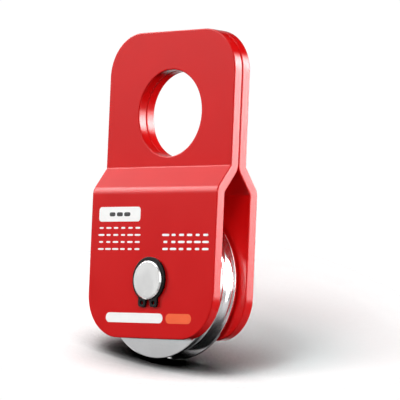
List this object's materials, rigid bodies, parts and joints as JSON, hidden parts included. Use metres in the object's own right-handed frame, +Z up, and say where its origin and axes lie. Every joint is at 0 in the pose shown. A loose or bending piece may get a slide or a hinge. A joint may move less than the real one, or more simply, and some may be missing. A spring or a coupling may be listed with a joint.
{
  "type": "snatch block",
  "caption": "Snatch block: folded cheek plates with a shackle eye, swinging open on a headed axle pin that carries a grooved rope sheave.",
  "frame": {"origin": "centre of the shackle eye, halfway between the cheek plates", "axes": "+Z up the block, from the sheave towards the eye; +Y along the axle, from the front cheek to the rear cheek; +X across the plates"},
  "size_m": [0.082, 0.0326, 0.1544],
  "materials": {
    "cheek_coat": "gloss red powder coat",
    "sheave_plating": "polished plating",
    "bush_bronze": "machined bronze",
    "pin_steel": "bright plated",
    "ring_steel": "black phosphate",
    "washer_steel": "zinc plated"
  },
  "bodies": {
    "rear_side": {"rear_cheek": "cheek_coat", "axle_pin": "pin_steel", "retaining_ring": "ring_steel", "front_thrust_washer": "washer_steel", "rear_thrust_washer": "washer_steel"},
    "wheel": {"sheave": "sheave_plating", "sheave_bush": "bush_bronze"},
    "front_side": {"front_cheek": "cheek_coat"}
  },
  "joints": [
    {"name": "sheave_spin", "type": "hinge", "parent": "rear_side", "child": "wheel", "pos_m": [0, 0, -0.0792], "axis": [0, 1, 0], "continuous": true},
    {"name": "front_cheek_swing", "type": "hinge", "parent": "rear_side", "child": "front_side", "pos_m": [0, 0, -0.0792], "axis": [0, 1, 0], "continuous": true}
  ]
}
